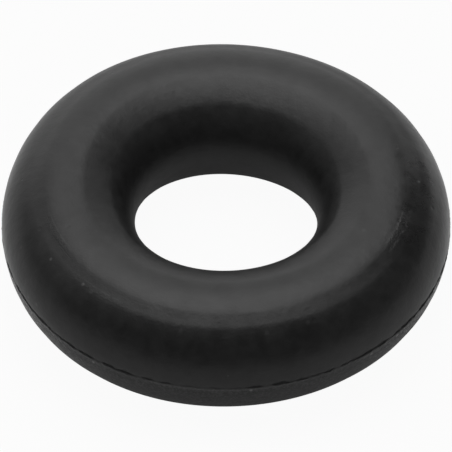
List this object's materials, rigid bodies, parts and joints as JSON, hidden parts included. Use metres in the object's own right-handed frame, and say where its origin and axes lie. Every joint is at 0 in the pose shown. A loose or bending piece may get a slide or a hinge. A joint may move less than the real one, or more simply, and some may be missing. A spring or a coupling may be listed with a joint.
{
  "type": "o-ring",
  "caption": "Moulded rubber o-ring with a round section, for sealing a rod or a bore in a gland.",
  "frame": {"origin": "centre of the ring, at the middle of its bore and of its thickness", "axes": "+Z along the ring's axis, up as the ring lies flat; X and Y are alike, because the ring is round"},
  "size_m": [0.0089, 0.009, 0.0026],
  "materials": {
    "rubber": "satin black moulded nitrile rubber"
  },
  "bodies": {
    "root": {"o_ring": "rubber"}
  },
  "joints": []
}
